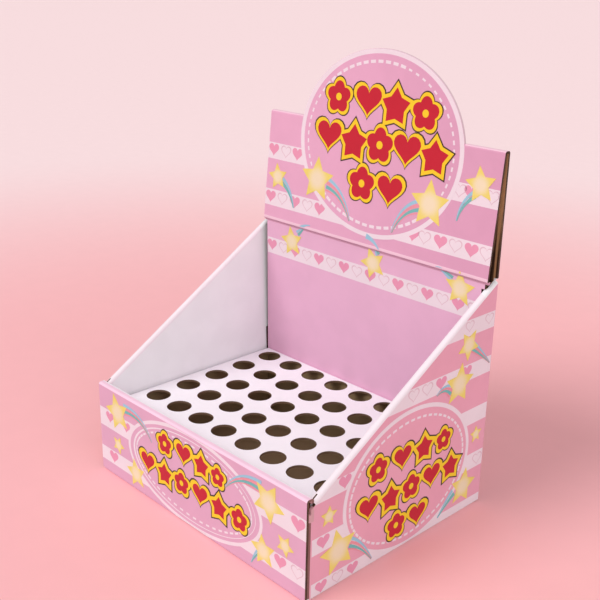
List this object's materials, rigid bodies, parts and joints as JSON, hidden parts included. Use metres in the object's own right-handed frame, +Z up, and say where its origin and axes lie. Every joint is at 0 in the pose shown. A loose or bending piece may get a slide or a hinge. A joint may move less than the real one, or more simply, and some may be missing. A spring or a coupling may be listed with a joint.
{
  "type": "cardboard counter display stand",
  "caption": "Folded card counter display tray with sloping rolled-edge walls, a perforated platform that holds pens upright, and a tall fold-over header with a rounded top.",
  "frame": {"origin": "middle of the underside of the base, midway between the outer faces of the front and back and of the two side walls at their feet", "axes": "+X to the display's right-hand wall, -Y out of the front wall, +Z up"},
  "size_m": [0.1952, 0.1512, 0.2661],
  "materials": {
    "printed_card": "satin print on white liner",
    "white_card": "matt white liner"
  },
  "bodies": {
    "root": {"display_body": "printed_card", "pen_platform": "white_card"}
  },
  "joints": []
}
